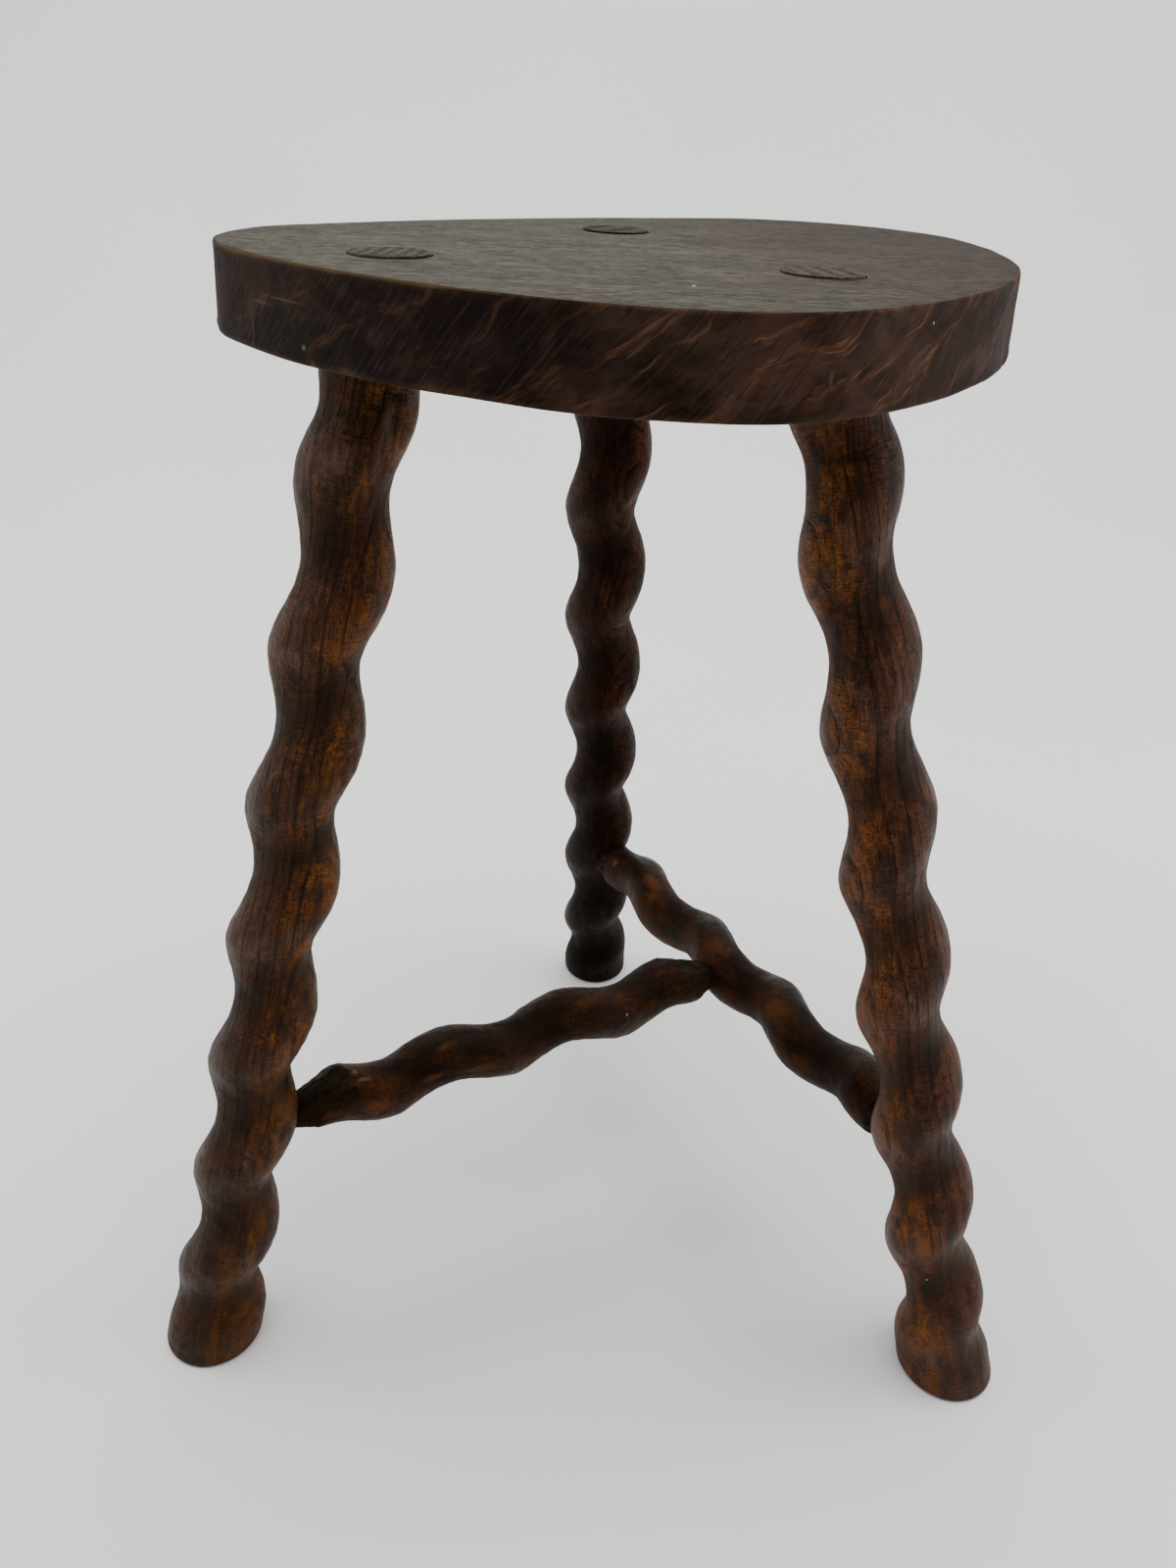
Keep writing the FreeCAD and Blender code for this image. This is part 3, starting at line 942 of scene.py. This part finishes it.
    roughness = clouds.rise(0.3, 0.7, 0.38, 0.56) + line * 0.12 + ridge.rise(0.8, -0.8, -0.04, 0.12)
    roughness = (roughness + pared * 0.25).calc("ADD", endgrain * 0.3, clamp=True)
    relief = (line + threads) * -0.9 + ticks.rise(0.45, 0.65) * -0.9 + split * -1.6 + fibres * 0.9
    normal = relief.bump(0.0002)
    rasp = place.noise((190, 190, 330), 3, 0.6)
    normal = rasp.bump(0.00055, 0.7, normal)
    normal = chips.bump(0.0007, pared * 0.9, normal)
    return paint.finish(roughness, normal, specular, wax_sheen)


def rubbed_arris(paint):
    """Where the board's edges are rubbed down to paler wood, most of all on the near left."""
    around = paint.mark("around", "Vector")
    along = around.parts()[0]
    left = along.rise(0.06, 0.085) * along.rise(0.215, 0.17, 0, 0.22)
    rub = around.noise((70, 70, 70), 4, 0.6) + left
    return paint.mark("arris") * rub.rise(0.46, 0.74)


def seat_top_wood(marks):
    """Weathered matte top: grain in broad and fine streaks, short cracks and pores."""
    paint = Paint("seat_top_wood")
    place = paint.mark("place", "Vector")
    wavy = place.warp((12, 12, 5), (0.016, 0.016, 0))
    broad = wavy.noise((48, 48, 20), 4, 0.6, 0.4)
    grain = wavy.noise((230, 230, 85), 5, 0.7, 0.5)
    fine = wavy.noise((700, 700, 260), 4, 0.7)
    cloud = place.noise((26, 26, 15), 3)
    pores = wavy.noise((1500, 1500, 170), 2).rise(0.62, 0.7)
    splits = wavy.noise((330, 330, 62), 1, 0.4)
    specks = place.noise((520, 520, 360), 1)
    rightward = place.parts()[2] + cloud.rise(0.3, 0.7, -0.02, 0.02)
    paint.color = blend(broad.rise(0.34, 0.64), board_dark, board_pale)
    paint.lay(cloud.rise(0.5, 0.66, 0, 0.5), board_cloud)
    paint.lay(grain.rise(0.5, 0.64, 0, 0.72), grain_pale)
    paint.lay(grain.rise(0.48, 0.36, 0, 0.72), grain_dark)
    paint.lay(fine.rise(0.46, 0.62, 0, 0.55), fibre_pale)
    paint.lay(fine.rise(0.44, 0.34, 0, 0.55), fibre_dark)
    paint.lay(rightward.rise(-0.04, 0.12), blend(1.0, paint.color, browner, "MULTIPLY"))
    paint.lay(pores * 0.7, pore_dark)
    paint.lay(splits.rise(0.735, 0.76, 0, 0.9), crack_black)
    paint.lay(specks.rise(0.76, 0.78, 0, 0.8), speck_black)
    paint.lay(rubbed_arris(paint) * 0.7, top_rubbed)
    paint.lay_marks(place, marks)
    normal = (grain + fine * 0.8 - pores).bump(0.00025, 0.8)
    return paint.finish(grain.rise(0.3, 0.7, 0.66, 0.82), normal, specular=0.05)


def seat_edge_wood(marks):
    """Sawn edge and underside: dark stain over swirling figure, crossed by saw marks."""
    paint = Paint("seat_edge_wood")
    place = paint.mark("place", "Vector")
    around = paint.mark("around", "Vector")
    along = around.parts()[0]
    figure = place.warp((34, 34, 22), (0.05, 0.05, 0.03), 3).noise((38, 38, 17), 4, 0.6, 1.2)

    # Stain: almost black on the near left, a warm red brown on the near right
    black = along.rise(0.112, 0.135) * along.rise(0.225, 0.185)
    glow = along.rise(0.185, 0.255) * along.rise(0.365, 0.325)
    soft = around.noise((40, 60, 1), 4, 0.6, 0.6, move=(2, 5, 0))
    tone = soft + glow * 0.16 - black * 0.12 + figure.rise(0.3, 0.7, -0.08, 0.08)
    paint.color = blend(tone.rise(0.38, 0.6), edge_black, edge_brown)
    paint.lay(tone.rise(0.58, 0.8), edge_red)

    # Figure: bundles of fine streaks that sweep up to the right, thickest on the near right
    waver = around.warp((26, 26, 26), (0.025, 0.025, 0), 3)
    leaning = waver.stretch(turn=(0, 0, math.radians(-30)))
    bundle = leaning.noise((30, 150, 1), 3, 0.55, 0.4) + along.rise(0.17, 0.26, -0.05, 0.02)
    bundle = bundle.rise(0.5, 0.64)
    streak = leaning.noise((60, 640, 1), 4, 0.65, 0.3)
    paint.lay(bundle * streak.rise(0.42, 0.64, 0.1, 1.0) * 0.7, flame_brown)
    bright = leaning.noise((75, 820, 1), 4, 0.68, 0.3, move=(4, 9, 0))
    paint.lay(bright.rise(0.52, 0.64) * (bundle * glow) * 0.7, flame_bright)
    paint.lay(streak.rise(0.44, 0.32, 0, 0.55), vein_black)
    fog = waver.noise((30, 55, 1), 3, 0.6, move=(3, 1, 0))
    paint.lay(fog.rise(0.5, 0.68, 0, 0.3), fog_grey)

    # Close slanting saw marks, plainest where the stain is black
    slanted = around.stretch(turn=(0, 0, math.radians(-51)))
    saw = slanted.warp((40, 40, 40), (0, 0.0012, 0)).noise((70, 1150, 1), 3, 0.65, 0.1)
    plainness = around.noise((30, 45, 1), 2, move=(7, 0, 0)) + black * 0.1
    plainness = plainness.rise(0.36, 0.6, 0.25, 1.0)
    paint.lay(saw.rise(0.5, 0.66) * plainness * 0.28, saw_pale)
    paint.lay(saw.rise(0.48, 0.34) * plainness * 0.5, saw_dark)
    paint.lay(rubbed_arris(paint) * 0.6, edge_rubbed)
    paint.lay_marks(around, marks)
    normal = (saw * plainness).bump(0.00022, 0.8)
    return paint.finish(fog.rise(0.3, 0.7, 0.52, 0.66), normal, 0.035, edge_sheen)


def studio_white():
    """Pale matte floor and backdrop."""
    paint = Paint("studio_white")
    place = Value(add_node(paint.tree, "NewGeometry", {}), "Position")
    paint.color = blend(place.noise((2.2, 2.2, 2.2), 2).rise(0.3, 0.7), sheet_low, sheet_high)
    normal = place.noise((600, 600, 600), 2).bump(0.0001, 0.2)
    return paint.finish(0.75, normal, specular=0.2)


# Marks of use on the bars: place in the wood and half sizes in millimetres, colour, strength
left_marks = [
    ((10.4, -12.3, 422.5), (4, 6, 2.4), stain, 0.9),
    ((11.8, -13.5, 416), (0.7, 6, 7), stain, 0.85),
    ((9.1, -15, 415.5), (1.4, 6, 5), scuff_and_highlight, 0.8),
    # Painted highlight on a bulge, in the scuff colour.
    ((-4.3, -18.4, 401.2), (4.2, 6, 6), scuff_and_highlight, 0.5),
]
right_marks = [
    ((-6, -12.5, 63.7), (0.6, 3, 0.5), chalk, 0.8),
    ((-10.9, -13.3, 396), (2.4, 6, 2), stain, 0.9),
    ((-0.7, -14.4, 413), (8, 6, 2.2), stain, 0.7),
    ((6.6, -13.1, 380.4), (3.2, 6, 5), scuff_and_highlight, 0.45),
    ((6.3, -10.9, 363.4), (2.4, 6, 2.4), rubbed, 0.6),
]
cross_marks = [
    ((-7, 6.8, 30.9), (2, 4, 2), fresh_cut, 0.7),
    ((-4.2, 13.8, 66.1), (4, 4, 6), rubbed, 0.85),
    ((-9.1, 10.2, 73.3), (3, 3, 3), rubbed, 0.8),
    ((-6.7, 12.9, 128.4), (6, 6, 8), rubbed, 0.55),
    ((-9.1, 12.5, 180.8), (5, 5, 8), honey, 0.75),
]
stem_marks = [
    ((-3.1, 14.2, 46.3), (1.5, 1.5, 1.2), fresh_cut, 0.9),
    ((-7.5, 12.5, 49), (1, 1.2, 3.5), fresh_cut, 0.8),
    ((-15.2, 1.8, 51.7), (5, 3.5, 6.5), rubbed, 0.85),
    ((-13.2, 4.6, 175.7), (0.5, 1, 0.5), chalk, 0.6),
    ((-4.2, 12.9, 87.9), (1.6, 2, 6), honey, 0.8),
    ((-13.9, 2.4, 100.6), (3, 1.8, 9), honey, 0.75),
    ((-9.3, 2, 79.8), (3, 1.6, 6), honey, 0.75),
    ((-6.4, 14, 157.6), (3, 2, 8), honey, 0.55),
]

# Marks on the seat's edge, by way along it and height, and on its top, by place in the wood
far = 1000
edge_marks = [
    ((99.6, 429.3, 0), (0.3, 5.6, far), scratch, 0.6),
    ((118.3, 439.6, 0), (9, 0.4, far), bruise, 0.5),
    ((105, 437.5, 0), (5, 0.5, far), bruise, 0.45),
    ((127, 428, 0), (1, 0.8, far), plaster, 0.6),
    ((325.1, 444.7, 0), (0.4, 0.4, far), chalk, 0.8),
    ((255.3, 428, 0), (3.4, 3, far), ruddy, 0.45),
    ((283.9, 434.1, 0), (0.9, 2.6, far), olive, 0.5),
]
top_marks = [
    ((-118.8, 449.9, 4.9), (1.3, 4, 0.6), chalk, 0.9),
    ((-11.6, 449.9, -52.9), (1, 4, 1.9), stain, 0.9),
    ((-71.2, 450, -17.3), (1, 4, 1.6), stain, 0.9),
    ((-40, 449.8, -3.7), (0.9, 4, 3), stain, 0.9),
    ((-61.8, 449.8, 28.4), (0.8, 4, 1), stain, 0.9),
]

# Woods: colours, the growth rings' centre and spacing, drift along the grain, the side that
# is more amber as painted warm light, gloss, strength of the figure, painted shade as lightness at the
# floor and higher up, marks
woods = {
    "leg_left": (left_palette, (0.046, -0.026), 0.0029, 0, 1, 0.15, 1, (0.62, 1.1), left_marks),
    "leg_right": (right_palette, (-0.052, -0.02), 0.0036, 0.35, -1, 0.17, 1, (0.88, 0.97), right_marks),
    "leg_rear": (rear_shaded_palette, (0.03, -0.04), 0.0023, 0.9, 1, 0.06, 1, (0.1, 1.05), []),
    "cross_stretcher": (bar_palette, (0.06, -0.03), 0.004, 1.7, -1, 0.1, 0.3, (0.85, 0.85), cross_marks),
    "stem_stretcher": (bar_palette, (0.06, -0.026), 0.004, 2.4, -1, 0.1, 0.3, (1, 1), stem_marks),
}

# Stretchers: line between the joints, where tenons and body begin and end, and for each
# whittled end the neighbour's surface, the neck's width, its straight part and its slope
left_joint, right_joint, rear_joint = (
    at_height(leg_line(leg), leg["joint_height"]) for leg in legs.values())
stem_joint = rear_joint + (right_joint - rear_joint) * stem_joint_share
leg_surface = leg_foot_round / 2
bar_surface = bar_round / 2
stretchers = {
    "cross_stretcher": {
        "line": (rear_joint, right_joint), "pitches": (0.0652, 0.0550), "angle": 197.8,
        "facet_angle": 12, "tenon_radius": 0.007, "tenons": (0.0008, 0.0008), "body": (0.011, 0.011),
        "pares": ((leg_surface, 0.0206, 0.009, 0.005), (leg_surface, 0.020, 0.005, 0.008)),
    },
    "stem_stretcher": {
        "line": (left_joint, stem_joint), "pitches": (0.0568, 0.0614), "angle": 248.1,
        "facet_angle": 30, "tenon_radius": 0.006, "tenons": (0.0008, 0.0018), "body": (0.011, 0.0085),
        "pares": ((leg_surface, 0.0124, 0.0025, 0.034), (bar_surface, 0.013, 0.001, 0.033)),
    },
}

# The stool
for make, bars, first_seed in ((leg_piece, legs, 100), (stretcher_piece, stretchers, 200)):
    for number, (node, bar) in enumerate(bars.items()):
        make(node, bar, first_seed + 10 * number, turned_wood(node + "_wood", *woods[node]))
seat_piece([seat_edge_wood(edge_marks), seat_top_wood(top_marks)])


# Studio

def backdrop(front=-3.0, bend_start=1.1, bend_radius=0.6, bend_steps=12, top=3.0, half_width=4.0):
    """Floor that curves up behind the stool."""
    profile = [(front, 0.0), (bend_start, 0.0)]
    for step in range(1, bend_steps + 1):
        angle = math.pi / 2 * step / bend_steps
        y = bend_start + bend_radius * math.sin(angle)
        profile.append((y, bend_radius * (1 - math.cos(angle))))
    profile.append((bend_start + bend_radius, top))
    points = []
    for y, z in profile:
        points.extend([(-half_width, y, z), (half_width, y, z)])
    faces = [(2 * i, 2 * i + 1, 2 * i + 3, 2 * i + 2) for i in range(len(profile) - 1)]
    mesh = bpy.data.meshes.new("studio_floor")
    mesh.from_pydata(points, [], faces)
    mesh.shade_smooth()
    mesh.materials.append(studio_white())
    floor = new_object("studio_floor", mesh)


def area_light(name, place, target, size, power, color):
    light = bpy.data.lights.new(name, "AREA")
    light.shape = "RECTANGLE"
    light.size, light.size_y = size
    light.energy = power
    light.color = color
    lamp = new_object(name, light)
    lamp.location = place
    lamp.rotation_euler = (Vector(target) - Vector(place)).to_track_quat("-Z", "Y").to_euler()


def camera():
    """Camera of the photograph: a short phone lens close above the seat."""
    heading = np.array([math.sin(camera_yaw), math.cos(camera_yaw), 0.0])
    forward = heading * math.cos(camera_pitch) - UP * math.sin(camera_pitch)
    level_right = np.cross(heading, UP)
    level_up = np.cross(level_right, forward)
    right = math.cos(camera_roll) * level_right + math.sin(camera_roll) * level_up
    up = -math.sin(camera_roll) * level_right + math.cos(camera_roll) * level_up
    place = np.array(camera_place) + shift
    data = bpy.data.cameras.new("camera")
    data.sensor_fit = "VERTICAL"
    data.sensor_height = 36.0
    data.lens = focal_pixels / picture_height * data.sensor_height
    data.clip_start = 0.01
    made = new_object("camera", data)
    made.matrix_world = Matrix((*np.column_stack([right, up, -forward, place]), (0, 0, 0, 1)))
    bpy.context.scene.camera = made


# Lights: place, what they face, width and height, watts and colour
lights = {
    "overhead": ((0.0, 0.08, 2.3), (0, 0.15, 0.0), (2.6, 2.2), 68, (1.0, 0.995, 0.98)),
    "left_window": ((-2.0, 0.2, 1.1), (0, 0.1, 0.25), (1.4, 1.8), 20, (0.97, 0.99, 1.0)),
    "right_window": ((2.0, 0.1, 1.2), (0, 0.1, 0.25), (1.4, 1.8), 26, (1.0, 0.99, 0.98)),
    "wall_wash": ((0.0, 0.6, 2.4), (0.1, 1.7, 0.9), (2.8, 0.8), 6, (1.0, 0.99, 0.98)),
}
backdrop()
for name, light in lights.items():
    area_light(name, *light)
camera()
world = bpy.data.worlds.new("studio")
world.use_nodes = True
background = world.node_tree.nodes["Background"].inputs
background["Color"].default_value = (0.93, 0.95, 1.0, 1)
background["Strength"].default_value = 0.30
bpy.context.scene.world = world
